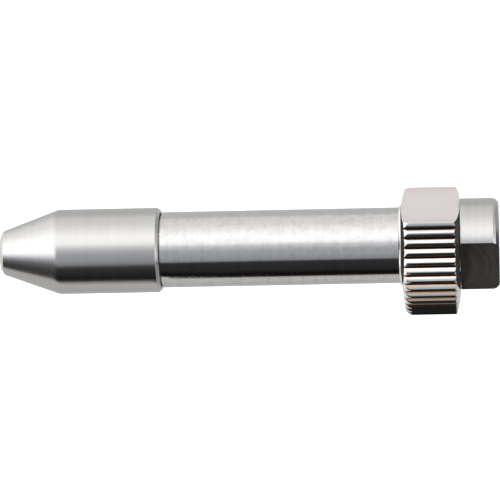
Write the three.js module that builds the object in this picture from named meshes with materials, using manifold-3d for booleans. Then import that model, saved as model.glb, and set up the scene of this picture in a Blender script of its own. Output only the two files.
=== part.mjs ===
// A straight-shank live centre: a bull-nosed point head turns on ball bearings inside a tubular shank,
// and a knurled collar at the rear screws along the shank to push the bearing preload plunger forward.
// Millimetres. +X runs along the axis from the point to the tail and +Z is up. The origin is on the
// axis, halfway along the shank that a holder grips. Threads are drawn as plain cylinders.
import * as THREE from "three";
import { mergeVertices } from "three/addons/utils/BufferGeometryUtils.js";
import Module from "manifold-3d";

// Point head
const noseFaceRadius = 4.4;
const noseChamferLength = 0.8;
const noseChamferDepth = 1.4;
const coneLength = 14.7;
const headStep = 1.2;
const headCylinderLength = 27.2;
const headRearChamferLength = 0.9;
const headRearChamferDepth = 0.7;
const skirtDepth = 8;
const skirtWall = 1.6;
const headBossWall = 1.6;
const headBossLength = 2.2;
const spindleSocketDepth = 15;

// Shank tube
const shankRadius = 10;
const shankWall = 2;
const shankExposedLength = 63;
const shankThreadStep = 1;
const webThickness = 1.2;
const webBoreSpare = 0.2;
const pinSlotSpare = 0.15;

// Bearings: one thrust bearing and two like radial bearings on the spindle
const bearingSection = 4;
const bearingWidth = 5;
const ballRadius = 1.19;
const ballCount = 8;
const grooveConformity = 1.05;
const raceShoulderHeight = 1.25;
const thrustWasherThickness = 1.3;
const thrustGrooveDepth = 0.5;
const cageThickness = 0.9;
const cageRim = 0.34;
const rearBearingSetback = 20.7;

// Spindle and what is clamped on it
const spindleShoulderHeight = 1;
const spindleThreadStep = 0.5;
const spacerWall = 1.1;
const tabWasherThickness = 0.8;
const locknutLength = 4.5;
const spindleEndSpare = 1;
const locknutWall = 2;
const locknutSlotWidth = 1.6;
const locknutSlotDepth = 0.9;

// Seal and retaining ring
const sealThickness = 1.2;
const retainingRingThickness = 1;
const retainingRingBite = 0.6;
const retainingRingHeight = 1.7;
const retainingRingOpening = 5;

// Preload plunger, spring and cross pin
const collarTravel = 0.8;
const waveSpringThickness = 0.35;
const waveSpringHeight = 1.1;
const waveSpringGap = 0.6;
const waveCount = 3;
const plungerWall = 1.35;
const plungerCupSpare = 4;
const plungerPinWall = 1.4;
const crossPinRadius = 1.5;
const crossPinEndGap = 0.2;

// Knurled collar
const collarRadius = 18.5;
const collarHubWall = 0.55;
const collarHubLength = 0.55;
const shankOverlap = 1;
const collarLength = 15.9;
const frontDomeLength = 1.85;
const rearDomeLength = 1.15;
const frontDomeSagitta = 0.45;
const rearDomeSagitta = 0.28;
const collarFlatWall = 0.7;
const knurlCount = 44;
const knurlDepth = 0.85;
const knurlRidgeShare = 0.2;
const knurlRootShare = 0.06;
const pinPocketX = 5.7;
const closingRingWall = 1.35;
const frictionRingX = 3.4;
const frictionRingRadius = 0.44;

// Tail plug
const tailRadius = 12;
const tailLength = 10.2;
const tailGap = 0.1;
const tailFlatDistance = 8.4;
const tailFlatTurn = 26;
const tailChamferLength = 0.75;
const tailChamferDepth = 0.3;
const tailEdgeDepth = 0.85;
const tailSpigotGap = 0.6;
const tailRingRadius = 0.48;
const greaseScrewRadius = 3;
const greaseScrewLength = 6;
const greaseScrewRecess = 0.9;
const greaseDuctRadius = 1.5;
const hexSocketAcross = 3;
const hexSocketDepth = 2.5;

// Clearances
const seatGap = 0.02;
const runningGap = 0.05;
const ballGap = 0.05;
const turningGap = 0.3;
const cagePocketGap = 0.15;

// Facets round a turned piece
const outerFacets = 48;
const innerFacets = 32;

// Places along the axis, counted from the nose face
const coneEndX = noseChamferLength + coneLength;
const headRearX = coneEndX + headCylinderLength;
const gripX = headRearX + shankExposedLength / 2;
const skirtFloorX = headRearX - skirtDepth;
const bossEndX = skirtFloorX + headBossLength;
const spigotFrontX = skirtFloorX + turningGap;
const shaftWasherX = bossEndX + seatGap;
const thrustBallRise = ballRadius + ballGap - thrustGrooveDepth;
const thrustBallX = shaftWasherX + thrustWasherThickness + thrustBallRise;
const housingWasherX = thrustBallX + thrustBallRise;
const webX = housingWasherX + thrustWasherThickness + seatGap;
const frontBearingX = webX + webThickness + seatGap;
const frontBearingEndX = frontBearingX + bearingWidth;
const collarX = headRearX + shankExposedLength;
const rearBearingX = collarX - rearBearingSetback;
const rearBearingEndX = rearBearingX + bearingWidth;
const tabWasherX = rearBearingEndX + seatGap;
const locknutX = tabWasherX + tabWasherThickness + seatGap;
const spindleEndX = locknutX + locknutLength + spindleEndSpare;
const waveSpringX = rearBearingEndX + collarTravel + waveSpringGap;
const plungerX = waveSpringX + waveSpringHeight + seatGap;
const plungerCupEndX = spindleEndX + collarTravel + plungerCupSpare;
const pinX = collarX + pinPocketX + runningGap + crossPinRadius;
const plungerEndX = pinX + crossPinRadius + plungerPinWall;
const collarEndX = collarX + collarLength;
const tailX = collarEndX + tailGap;
const tailEndX = tailX + tailLength;
const spigotX = plungerEndX + tailSpigotGap;
const tailRingX = (spigotX + tailX) / 2;

// Radii that follow from a wall or a fit
const headRadius = shankRadius + headStep;
const skirtBoreRadius = headRadius - skirtWall;
const spigotRadius = skirtBoreRadius - runningGap;
const shankThreadRadius = shankRadius - shankThreadStep;
const bearingOuterRadius = shankRadius - shankWall;
const bearingSeatRadius = bearingOuterRadius + seatGap;
const spindleRadius = bearingOuterRadius - bearingSection;
const spindleSeatRadius = spindleRadius + seatGap;
const spindleThreadRadius = spindleRadius - spindleThreadStep;
const headBossRadius = spindleRadius + headBossWall;
const pitchRadius = (spindleRadius + bearingOuterRadius) / 2;
const innerShoulderRadius = spindleRadius + raceShoulderHeight;
const outerShoulderRadius = bearingOuterRadius - raceShoulderHeight;
const raceGrooveRadius = ballRadius * grooveConformity;
const pocketRadius = ballRadius + cagePocketGap;
const shankPassRadius = shankRadius + runningGap;
const collarHubRadius = shankPassRadius + collarHubWall;
const collarBoreRadius = shankThreadRadius + runningGap;
const pinPocketRadius = collarBoreRadius + closingRingWall;
const crossPinReach = pinPocketRadius - crossPinEndGap;
const collarFlatHeight = pinPocketRadius + collarFlatWall;
const pinPocketEndX = pinX + crossPinRadius + runningGap;

const wasm = await Module();
wasm.setup();

// A closed geometry as a solid that can be joined and cut.
function solidOf(geometry) {
  const bare = geometry.clone();
  bare.deleteAttribute("normal");
  bare.deleteAttribute("uv");
  const merged = mergeVertices(bare, 1e-4);
  const mesh = new wasm.Mesh({
    numProp: 3,
    vertProperties: merged.attributes.position.array,
    triVerts: new Uint32Array(merged.index.array),
  });
  return new wasm.Manifold(mesh);
}

function geometryOf(solid) {
  const mesh = solid.getMesh();
  const geometry = new THREE.BufferGeometry();
  geometry.setAttribute("position", new THREE.BufferAttribute(mesh.vertProperties, 3));
  geometry.setIndex(new THREE.BufferAttribute(mesh.triVerts, 1));
  const flat = geometry.toNonIndexed();
  flat.computeVertexNormals();
  return flat;
}

function cut(blank, ...tools) {
  return geometryOf(tools.reduce((solid, tool) => solid.subtract(solidOf(tool)), solidOf(blank)));
}

function keepInside(blank, limit) {
  return geometryOf(solidOf(blank).intersect(solidOf(limit)));
}

// Turns a closed outline of [x, radius] points about the X axis, whichever way round it was listed.
function turned(outline, facets = innerFacets) {
  const area = outline.reduce((sum, [x, r], i) => {
    const [nextX, nextR] = outline[(i + 1) % outline.length];
    return sum + x * nextR - nextX * r;
  }, 0);
  const ordered = area > 0 ? [...outline].reverse() : [...outline];
  const startsOnAxis = ordered.findIndex(([, r], i) => r === 0 && ordered.at(i - 1)[1] === 0);
  const first = Math.max(startsOnAxis, 0);
  const spun = [...ordered.slice(first), ...ordered.slice(0, first)];
  const points = spun.map(([x, r]) => new THREE.Vector2(r, x));
  if (startsOnAxis < 0) points.push(points[0].clone());
  return new THREE.LatheGeometry(points, facets).rotateZ(-Math.PI / 2);
}

function ring(x, length, boreRadius, radius, facets) {
  return turned([[x, boreRadius], [x + length, boreRadius], [x + length, radius], [x, radius]], facets);
}

// Points of an arc about [x, r], its angles in radians from the outward radius.
function arcPoints(x, r, radius, from, to, steps) {
  return Array.from({ length: steps + 1 }, (_, i) => {
    const angle = from + ((to - from) * i) / steps;
    return [x + radius * Math.sin(angle), r + radius * Math.cos(angle)];
  });
}

// A stretch from one [x, radius] point to another that bulges outward and ahead by a sagitta.
function domePoints([x0, r0], [x1, r1], sagitta, steps) {
  const length = Math.hypot(x1 - x0, r1 - r0);
  const side = r1 > r0 ? 1 : -1;
  return Array.from({ length: steps + 1 }, (_, i) => {
    const t = i / steps;
    const lift = 4 * sagitta * t * (1 - t);
    const x = x0 + (x1 - x0) * t - (lift * Math.abs(r1 - r0) * side) / length;
    return [x, r0 + (r1 - r0) * t + (lift * (x1 - x0)) / length];
  });
}

function torus(x, radius, wireRadius) {
  return new THREE.TorusGeometry(radius, wireRadius, 6, innerFacets).rotateY(Math.PI / 2).translate(x, 0, 0);
}

// A block that lies beyond a plane square to the axis direction at an angle from +Z, for cutting a flat.
function beyondPlane(distance, turn, x, length, reach) {
  const block = new THREE.BoxGeometry(length, 2 * reach, reach);
  block.translate(x + length / 2, 0, distance + reach / 2);
  return block.rotateX(turn);
}

function pointHead() {
  const coneTipRadius = noseFaceRadius + noseChamferDepth;
  const outline = [
    [0, 0],
    [0, noseFaceRadius],
    [noseChamferLength, coneTipRadius],
    [coneEndX, headRadius],
    [headRearX - headRearChamferLength, headRadius],
    [headRearX, headRadius - headRearChamferDepth],
    [headRearX, skirtBoreRadius],
    [skirtFloorX, skirtBoreRadius],
    [skirtFloorX, headBossRadius],
    [bossEndX, headBossRadius],
    [bossEndX, spindleSeatRadius],
    [skirtFloorX - spindleSocketDepth, spindleSeatRadius],
    [skirtFloorX - spindleSocketDepth, 0],
  ];
  return turned(outline, outerFacets);
}

function spindleShaft() {
  const shoulderRadius = spindleRadius + spindleShoulderHeight;
  const shoulderX = webX + turningGap;
  const threadX = locknutX - seatGap;
  return turned([
    [skirtFloorX - spindleSocketDepth + seatGap, 0],
    [skirtFloorX - spindleSocketDepth + seatGap, spindleRadius],
    [shoulderX, spindleRadius],
    [shoulderX, shoulderRadius],
    [frontBearingX - seatGap, shoulderRadius],
    [frontBearingX - seatGap, spindleRadius],
    [threadX, spindleRadius],
    [threadX, spindleThreadRadius],
    [spindleEndX, spindleThreadRadius],
    [spindleEndX, 0],
  ]);
}

function innerRace(x) {
  const middleX = x + bearingWidth / 2;
  const grooveR = pitchRadius - ballRadius - ballGap + raceGrooveRadius;
  const reach = Math.acos((grooveR - innerShoulderRadius) / raceGrooveRadius);
  const groove = arcPoints(middleX, grooveR, raceGrooveRadius, Math.PI + reach, Math.PI - reach, 5);
  return turned([
    [x, spindleSeatRadius],
    [x, innerShoulderRadius],
    ...groove,
    [x + bearingWidth, innerShoulderRadius],
    [x + bearingWidth, spindleSeatRadius],
  ]);
}

function outerRace(x) {
  const middleX = x + bearingWidth / 2;
  const grooveR = pitchRadius + ballRadius + ballGap - raceGrooveRadius;
  const reach = Math.acos((outerShoulderRadius - grooveR) / raceGrooveRadius);
  const groove = arcPoints(middleX, grooveR, raceGrooveRadius, -reach, reach, 5);
  return turned([
    [x, bearingOuterRadius],
    [x, outerShoulderRadius],
    ...groove,
    [x + bearingWidth, outerShoulderRadius],
    [x + bearingWidth, bearingOuterRadius],
  ]);
}

// One thrust washer, with its groove on the face at the ball side. Side is 1 where the balls lie at +X.
function thrustWasher(faceX, side, boreRadius, radius) {
  const grooveX = faceX + side * (raceGrooveRadius - thrustGrooveDepth);
  const reach = Math.acos((raceGrooveRadius - thrustGrooveDepth) / raceGrooveRadius);
  const middle = (-side * Math.PI) / 2;
  const groove = arcPoints(grooveX, pitchRadius, raceGrooveRadius, middle - reach, middle + reach, 4);
  const outward = groove[0][1] < groove.at(-1)[1] ? groove : [...groove].reverse();
  const backX = faceX - side * thrustWasherThickness;
  return turned([[faceX, boreRadius], ...outward, [faceX, radius], [backX, radius], [backX, boreRadius]]);
}

function thrustShaftWasher() {
  const radius = bearingOuterRadius - turningGap;
  return thrustWasher(shaftWasherX + thrustWasherThickness, 1, spindleSeatRadius, radius);
}

function thrustHousingWasher() {
  return thrustWasher(housingWasherX, -1, spindleRadius + turningGap, bearingOuterRadius);
}

function ballAngle(index) {
  return (2 * Math.PI * index) / ballCount;
}

function ballAt(x, index, radius, widthSegments, heightSegments) {
  const ball = new THREE.SphereGeometry(radius, widthSegments, heightSegments);
  return ball.translate(x, 0, pitchRadius).rotateX(ballAngle(index));
}

function withPockets(blank, x) {
  const pockets = Array.from({ length: ballCount }, (_, i) => ballAt(x, i, pocketRadius, 8, 6));
  return cut(blank, ...pockets);
}

function radialCage(x) {
  const inner = pitchRadius - cageThickness / 2;
  const reach = pocketRadius + cageRim;
  return withPockets(ring(x - reach, 2 * reach, inner, inner + cageThickness), x);
}

function thrustCage() {
  const reach = pocketRadius + cageRim;
  const x = thrustBallX - cageThickness / 2;
  return withPockets(ring(x, cageThickness, pitchRadius - reach, pitchRadius + reach), thrustBallX);
}

function innerSpacer() {
  const x = frontBearingEndX + seatGap;
  return ring(x, rearBearingX - seatGap - x, spindleSeatRadius, spindleRadius + spacerWall);
}

function tabWasher() {
  return ring(tabWasherX, tabWasherThickness, spindleSeatRadius, innerShoulderRadius);
}

function locknut() {
  const locknutRadius = spindleRadius + locknutWall;
  const slotFloor = locknutRadius - locknutSlotDepth;
  const slotX = locknutX + locknutLength / 2;
  const slot = (turn) => beyondPlane(slotFloor, turn, slotX, locknutLength, locknutSlotWidth / 2);
  const blank = ring(locknutX, locknutLength, spindleThreadRadius + seatGap, locknutRadius);
  return cut(blank, ...[0, 1, 2, 3].map((quarter) => slot((quarter * Math.PI) / 2)));
}

function frontSealRing() {
  return ring(spigotFrontX + turningGap, sealThickness, headBossRadius + 2 * runningGap, bearingOuterRadius);
}

function retainingRing() {
  const radius = bearingOuterRadius + retainingRingBite - seatGap;
  const x = frontBearingEndX + seatGap;
  const blank = ring(x, retainingRingThickness, radius - retainingRingHeight, radius);
  const opening = new THREE.BoxGeometry(2 * retainingRingThickness, retainingRingOpening, bearingOuterRadius);
  opening.translate(x + retainingRingThickness / 2, 0, -bearingOuterRadius);
  return cut(blank, opening);
}

function shankTube() {
  const ringGrooveEndX = frontBearingEndX + seatGap + retainingRingThickness + seatGap;
  const ringGrooveRadius = bearingOuterRadius + retainingRingBite;
  const endX = tailX - seatGap;
  const blank = turned(
    [
      [spigotFrontX, bearingSeatRadius],
      [spigotFrontX, spigotRadius],
      [headRearX + turningGap, spigotRadius],
      [headRearX + turningGap, shankRadius],
      [collarX + shankOverlap, shankRadius],
      [collarX + shankOverlap, shankThreadRadius],
      [endX, shankThreadRadius],
      [endX, bearingSeatRadius],
      [ringGrooveEndX, bearingSeatRadius],
      [ringGrooveEndX, ringGrooveRadius],
      [frontBearingEndX, ringGrooveRadius],
      [frontBearingEndX, bearingSeatRadius],
      [webX + webThickness, bearingSeatRadius],
      [webX + webThickness, pitchRadius + webBoreSpare],
      [webX, pitchRadius + webBoreSpare],
      [webX, bearingSeatRadius],
    ],
    outerFacets,
  );
  const slotLength = 2 * crossPinRadius + collarTravel + 2 * pinSlotSpare;
  const slotWidth = 2 * (crossPinRadius + pinSlotSpare);
  const slot = new THREE.BoxGeometry(slotLength, slotWidth, 3 * shankRadius);
  slot.translate(pinX + crossPinRadius + pinSlotSpare - slotLength / 2, 0, 0);
  return cut(blank, slot);
}

function preloadPlunger() {
  const radius = bearingSeatRadius - runningGap;
  const blank = turned([
    [plungerX, radius - plungerWall],
    [plungerX, radius],
    [plungerEndX, radius],
    [plungerEndX, 0],
    [plungerCupEndX, 0],
    [plungerCupEndX, radius - plungerWall],
  ]);
  return cut(blank, crossPin(crossPinRadius + seatGap, 2 * radius));
}

function crossPin(radius, length) {
  const pin = new THREE.CylinderGeometry(radius, radius, length, 16);
  return pin.rotateX(Math.PI / 2).translate(pinX, 0, 0);
}

// A flat ring bent into waves along its axis.
function waveSpring() {
  const inner = bearingOuterRadius - plungerWall;
  const outer = bearingOuterRadius - 2 * runningGap;
  const spring = ring(waveSpringX, waveSpringThickness, inner, outer, 36);
  const lift = waveSpringHeight - waveSpringThickness;
  const place = spring.attributes.position;
  for (let i = 0; i < place.count; i++) {
    const angle = Math.atan2(place.getZ(i), place.getY(i));
    place.setX(i, place.getX(i) + (lift * (1 + Math.cos(waveCount * angle))) / 2);
  }
  return spring;
}

// The collar's outside with domed ends and a hub in front, hollow for the shank and the pin pocket.
function collarBlank() {
  const grooveHalf = frictionRingRadius + seatGap;
  const grooveX = collarX + frictionRingX;
  const grooveRadius = collarBoreRadius + 2 * grooveHalf;
  const faceX = collarX + collarHubLength;
  const shoulderX = collarX + shankOverlap + collarTravel + turningGap;
  const front = domePoints([faceX, collarHubRadius], [faceX + frontDomeLength, collarRadius], frontDomeSagitta, 4);
  const rearX = collarEndX - rearDomeLength;
  const rear = domePoints([rearX, collarRadius], [collarEndX, tailRadius], rearDomeSagitta, 4);
  return turned(
    [
      [collarX, collarHubRadius],
      ...front,
      ...rear,
      [collarEndX, pinPocketRadius - seatGap],
      [collarEndX - seatGap, pinPocketRadius],
      [collarX + pinPocketX, pinPocketRadius],
      [collarX + pinPocketX, collarBoreRadius],
      [grooveX + grooveHalf, collarBoreRadius],
      [grooveX + grooveHalf, grooveRadius],
      [grooveX - grooveHalf, grooveRadius],
      [grooveX - grooveHalf, collarBoreRadius],
      [shoulderX, collarBoreRadius],
      [shoulderX, shankPassRadius],
      [collarX, shankPassRadius],
    ],
    outerFacets,
  );
}

// The straight knurl: a ridge, a sloping flank down, a narrow root and a flank up, once for each tooth.
// A root lies straight up, under the middle of the flat.
function knurlPrism() {
  const pitch = (2 * Math.PI) / knurlCount;
  const ridgeHalf = (knurlRidgeShare * pitch) / 2;
  const rootHalf = (knurlRootShare * pitch) / 2;
  const rootRadius = collarRadius - knurlDepth;
  const tooth = [
    [-ridgeHalf, collarRadius],
    [0, collarRadius],
    [ridgeHalf, collarRadius],
    [pitch / 2 - rootHalf, rootRadius],
    [pitch / 2 + rootHalf, rootRadius],
  ];
  const outline = [];
  for (let i = 0; i < knurlCount; i++) {
    for (const [angle, radius] of tooth) {
      const turn = (i + 0.5) * pitch + angle;
      outline.push(new THREE.Vector2(radius * Math.cos(turn), radius * Math.sin(turn)));
    }
  }
  const options = { depth: collarLength + 2, bevelEnabled: false };
  const prism = new THREE.ExtrudeGeometry(new THREE.Shape(outline), options);
  return prism.rotateY(Math.PI / 2).translate(collarX - 1, 0, 0);
}

function knurledCollar() {
  const toothed = keepInside(collarBlank(), knurlPrism());
  const flatX = collarX + collarHubLength;
  return cut(toothed, beyondPlane(collarFlatHeight, 0, flatX, collarLength, 2 * collarRadius));
}

function collarClosingRing() {
  const length = collarEndX - seatGap - pinPocketEndX;
  return ring(pinPocketEndX, length, collarBoreRadius, pinPocketRadius - seatGap, outerFacets);
}

function frictionRing() {
  const radius = collarBoreRadius + frictionRingRadius + seatGap / 2;
  return torus(collarX + frictionRingX, radius, frictionRingRadius);
}

function tailPlug() {
  const grooveHalf = tailRingRadius + seatGap;
  const grooveRadius = bearingOuterRadius - 2 * grooveHalf;
  const edgeX = tailEndX - tailChamferLength;
  const screwSeatRadius = greaseScrewRadius + seatGap;
  const screwSeatX = tailEndX - greaseScrewRecess - greaseScrewLength - seatGap;
  const blank = turned(
    [
      [spigotX, greaseDuctRadius],
      [spigotX, bearingOuterRadius],
      [tailRingX - grooveHalf, bearingOuterRadius],
      [tailRingX - grooveHalf, grooveRadius],
      [tailRingX + grooveHalf, grooveRadius],
      [tailRingX + grooveHalf, bearingOuterRadius],
      [tailX, bearingOuterRadius],
      [tailX, tailRadius],
      [edgeX - tailChamferLength, tailRadius],
      [edgeX, tailRadius - tailChamferDepth],
      [tailEndX, tailRadius - tailChamferDepth - tailEdgeDepth],
      [tailEndX, screwSeatRadius],
      [screwSeatX, screwSeatRadius],
      [screwSeatX, greaseDuctRadius],
    ],
    outerFacets,
  );
  const flatTurn = THREE.MathUtils.degToRad(90 + tailFlatTurn);
  const flatX = tailX - seatGap / 2;
  const flat = (turn) => beyondPlane(tailFlatDistance, turn, flatX, tailLength + 1, 2 * tailRadius);
  return cut(blank, flat(flatTurn), flat(flatTurn + Math.PI));
}

function tailRing() {
  return torus(tailRingX, bearingOuterRadius - tailRingRadius - seatGap, tailRingRadius);
}

function greaseScrew() {
  const x = tailEndX - greaseScrewRecess - greaseScrewLength;
  const blank = turned([
    [x, 0],
    [x, greaseScrewRadius],
    [x + greaseScrewLength, greaseScrewRadius],
    [x + greaseScrewLength, 0],
  ]);
  const socketRadius = hexSocketAcross / Math.sqrt(3);
  const socket = new THREE.CylinderGeometry(socketRadius, socketRadius, 2 * hexSocketDepth, 6);
  return cut(blank, socket.rotateZ(Math.PI / 2).translate(x + greaseScrewLength, 0, 0));
}

const groundSteel = [0xc9c8c6, 0.22, 1];
const turnedSteel = [0xcfcdca, 0.32, 1];
const bearingSteel = [0xb4b7bb, 0.15, 1];
const springSteel = [0x6d7176, 0.35, 1];
const brass = [0xb08d4a, 0.35, 1];
const rubber = [0x1d1d1e, 0.8, 0];
const felt = [0x6b665c, 0.95, 0];

const liveCentre = new THREE.Group();
const along = new THREE.Group();
along.position.x = -gripX;
liveCentre.add(along);

function add(name, geometry, [color, roughness, metalness]) {
  const mesh = new THREE.Mesh(geometry, new THREE.MeshStandardMaterial({ color, roughness, metalness }));
  mesh.name = name;
  along.add(mesh);
}

function addBalls(bearing, x) {
  for (let i = 0; i < ballCount; i++) {
    add(`${bearing}_ball_${i + 1}`, ballAt(x, i, ballRadius, 10, 6), bearingSteel);
  }
}

// What turns with the point
add("point_head", pointHead(), turnedSteel);
add("spindle_shaft", spindleShaft(), groundSteel);
add("thrust_shaft_washer", thrustShaftWasher(), bearingSteel);
add("front_inner_race", innerRace(frontBearingX), bearingSteel);
add("inner_spacer", innerSpacer(), turnedSteel);
add("rear_inner_race", innerRace(rearBearingX), bearingSteel);
add("tab_washer", tabWasher(), springSteel);
add("spindle_locknut", locknut(), springSteel);

// What stays with the shank
add("shank_tube", shankTube(), groundSteel);
add("front_seal_ring", frontSealRing(), felt);
add("thrust_housing_washer", thrustHousingWasher(), bearingSteel);
add("front_outer_race", outerRace(frontBearingX), bearingSteel);
add("bearing_retaining_ring", retainingRing(), springSteel);
add("rear_outer_race", outerRace(rearBearingX), bearingSteel);
add("tail_plug", tailPlug(), turnedSteel);
add("tail_o_ring", tailRing(), rubber);
add("grease_plug_screw", greaseScrew(), springSteel);

// The three cages and their balls
add("thrust_cage", thrustCage(), brass);
addBalls("thrust", thrustBallX);
add("front_cage", radialCage(frontBearingX + bearingWidth / 2), brass);
addBalls("front", frontBearingX + bearingWidth / 2);
add("rear_cage", radialCage(rearBearingX + bearingWidth / 2), brass);
addBalls("rear", rearBearingX + bearingWidth / 2);

// What the collar pushes forward
add("preload_plunger", preloadPlunger(), turnedSteel);
add("cross_pin", crossPin(crossPinRadius, 2 * crossPinReach), groundSteel);
add("wave_spring", waveSpring(), springSteel);

// The collar and what turns with it
add("knurled_collar", knurledCollar(), turnedSteel);
add("collar_closing_ring", collarClosingRing(), turnedSteel);
add("collar_friction_ring", frictionRing(), rubber);

export default liveCentre;
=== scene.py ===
import math

import bmesh
import bpy
from mathutils import Matrix, Vector


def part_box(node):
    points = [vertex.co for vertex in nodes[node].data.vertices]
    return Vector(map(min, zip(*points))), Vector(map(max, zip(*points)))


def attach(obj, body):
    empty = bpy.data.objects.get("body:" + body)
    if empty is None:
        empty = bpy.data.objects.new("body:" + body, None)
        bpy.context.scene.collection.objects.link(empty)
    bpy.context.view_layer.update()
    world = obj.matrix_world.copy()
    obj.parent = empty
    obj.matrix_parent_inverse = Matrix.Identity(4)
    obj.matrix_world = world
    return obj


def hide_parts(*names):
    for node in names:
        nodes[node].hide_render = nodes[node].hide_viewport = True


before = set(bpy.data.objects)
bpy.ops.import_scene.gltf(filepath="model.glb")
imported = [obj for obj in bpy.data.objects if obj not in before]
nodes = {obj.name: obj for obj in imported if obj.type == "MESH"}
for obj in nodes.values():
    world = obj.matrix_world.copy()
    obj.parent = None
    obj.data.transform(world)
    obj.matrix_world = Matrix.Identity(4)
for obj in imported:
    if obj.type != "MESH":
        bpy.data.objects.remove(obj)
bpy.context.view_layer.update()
mm = 0.001
print("stage: frame loaded")


def addNode(tree, kind, inputs=None, **settings):
    node = tree.nodes.new(kind)
    for name, value in settings.items():
        setattr(node, name, value)
    for name, value in (inputs or {}).items():
        setInput(tree, node.inputs[name], value)
    return node


def setInput(tree, socket, value):
    if isinstance(value, bpy.types.NodeSocket):
        tree.links.new(value, socket)
    else:
        socket.default_value = value


def calc(tree, operation, *values, clamp=False):
    node = tree.nodes.new("ShaderNodeMath")
    node.operation = operation
    node.use_clamp = clamp
    for socket, value in zip(node.inputs, values):
        setInput(tree, socket, value)
    return node.outputs[0]


# First plus a share of the second.
def mathSum(tree, first, second, share, clamp=False):
    return calc(tree, "ADD", first, calc(tree, "MULTIPLY", second, share), clamp=clamp)


def distanceFromAxis(tree, parts):
    squares = [calc(tree, "POWER", parts[axis], 2.0) for axis in ("Y", "Z")]
    return calc(tree, "SQRT", calc(tree, "ADD", *squares))


# 0 on the crest of a tooth and 1 in the groove beside it. A groove lies straight up.
def distanceFromCrest(tree, parts, teeth):
    angle = calc(tree, "ARCTAN2", parts["Y"], parts["Z"])
    turns = calc(tree, "DIVIDE", calc(tree, "MULTIPLY", angle, teeth), 2 * math.pi)
    toothPart = calc(tree, "SUBTRACT", calc(tree, "FRACT", turns), 0.5)
    return calc(tree, "MULTIPLY", calc(tree, "ABSOLUTE", toothPart), 2.0)


def smoothRange(tree, value, low, high, toLow=0.0, toHigh=1.0, shape="SMOOTHSTEP"):
    inputs = {"Value": value, "From Min": low, "From Max": high, "To Min": toLow, "To Max": toHigh}
    return addNode(tree, "ShaderNodeMapRange", inputs, interpolation_type=shape).outputs["Result"]


def newGroup(name, inputs, outputs, kind="ShaderNodeTree"):
    tree = bpy.data.node_groups.new(name, kind)
    for label, socketType, value in inputs:
        socket = tree.interface.new_socket(label, in_out="INPUT", socket_type=socketType)
        if value is not None:
            socket.default_value = value
    for label, socketType in outputs:
        tree.interface.new_socket(label, in_out="OUTPUT", socket_type=socketType)
    return tree, tree.nodes.new("NodeGroupInput"), tree.nodes.new("NodeGroupOutput")


def placeGroup(tree, group, **inputs):
    node = tree.nodes.new("ShaderNodeGroup")
    node.node_tree = group
    for name, value in inputs.items():
        setInput(tree, node.inputs[name], value)
    return node


# Lines left by a lathe tool: they run round the axis, close together along it and across any face.
def makeTurningMarks():
    tree, start, end = newGroup(
        "turningMarks",
        [("Vector", "NodeSocketVector", None), ("Lines", "NodeSocketFloat", 3000.0),
         ("Waver", "NodeSocketFloat", 0.00004)],
        [("Height", "NodeSocketFloat"), ("Tint", "NodeSocketFloat")])
    parts = addNode(tree, "ShaderNodeSeparateXYZ", {"Vector": start.outputs["Vector"]}).outputs
    across = distanceFromAxis(tree, parts)
    drift = addNode(tree, "ShaderNodeTexNoise", {"Vector": start.outputs["Vector"], "Scale": 90.0})
    sway = calc(tree, "SUBTRACT", drift.outputs["Fac"], 0.5)
    slide = calc(tree, "MULTIPLY", sway, start.outputs["Waver"])
    along = calc(tree, "ADD", calc(tree, "ADD", parts["X"], across), slide)
    fine = calc(tree, "MULTIPLY", along, start.outputs["Lines"])
    coarse = calc(tree, "MULTIPLY", along, calc(tree, "MULTIPLY", start.outputs["Lines"], 0.16))
    lines = addNode(tree, "ShaderNodeTexNoise", {"W": fine, "Scale": 1.0, "Detail": 4.0, "Roughness": 0.6},
                    noise_dimensions="1D")
    bands = addNode(tree, "ShaderNodeTexNoise", {"W": coarse, "Scale": 1.0, "Detail": 3.0},
                    noise_dimensions="1D")
    tree.links.new(lines.outputs["Fac"], end.inputs["Height"])
    tree.links.new(calc(tree, "ADD", calc(tree, "MULTIPLY", lines.outputs["Fac"], 0.5),
                        calc(tree, "MULTIPLY", bands.outputs["Fac"], 0.5)), end.inputs["Tint"])
    return tree


# A faint film of oil and handling: soft blotches in which a surface is a little duller.
def makeHandlingFilm():
    tree, start, end = newGroup(
        "handlingFilm",
        [("Vector", "NodeSocketVector", None), ("Scale", "NodeSocketFloat", 120.0),
         ("Amount", "NodeSocketFloat", 1.0)],
        [("Film", "NodeSocketFloat"), ("Ripple", "NodeSocketFloat")])
    blotch = addNode(tree, "ShaderNodeTexNoise",
                     {"Vector": start.outputs["Vector"], "Scale": start.outputs["Scale"], "Detail": 5.0,
                      "Roughness": 0.6, "Distortion": 0.4})
    ripple = addNode(tree, "ShaderNodeTexNoise",
                     {"Vector": start.outputs["Vector"],
                      "Scale": calc(tree, "MULTIPLY", start.outputs["Scale"], 2.6), "Detail": 2.0})
    film = smoothRange(tree, blotch.outputs["Fac"], 0.42, 0.68)
    tree.links.new(calc(tree, "MULTIPLY", film, start.outputs["Amount"]), end.inputs["Film"])
    tree.links.new(ripple.outputs["Fac"], end.inputs["Ripple"])
    return tree


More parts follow.
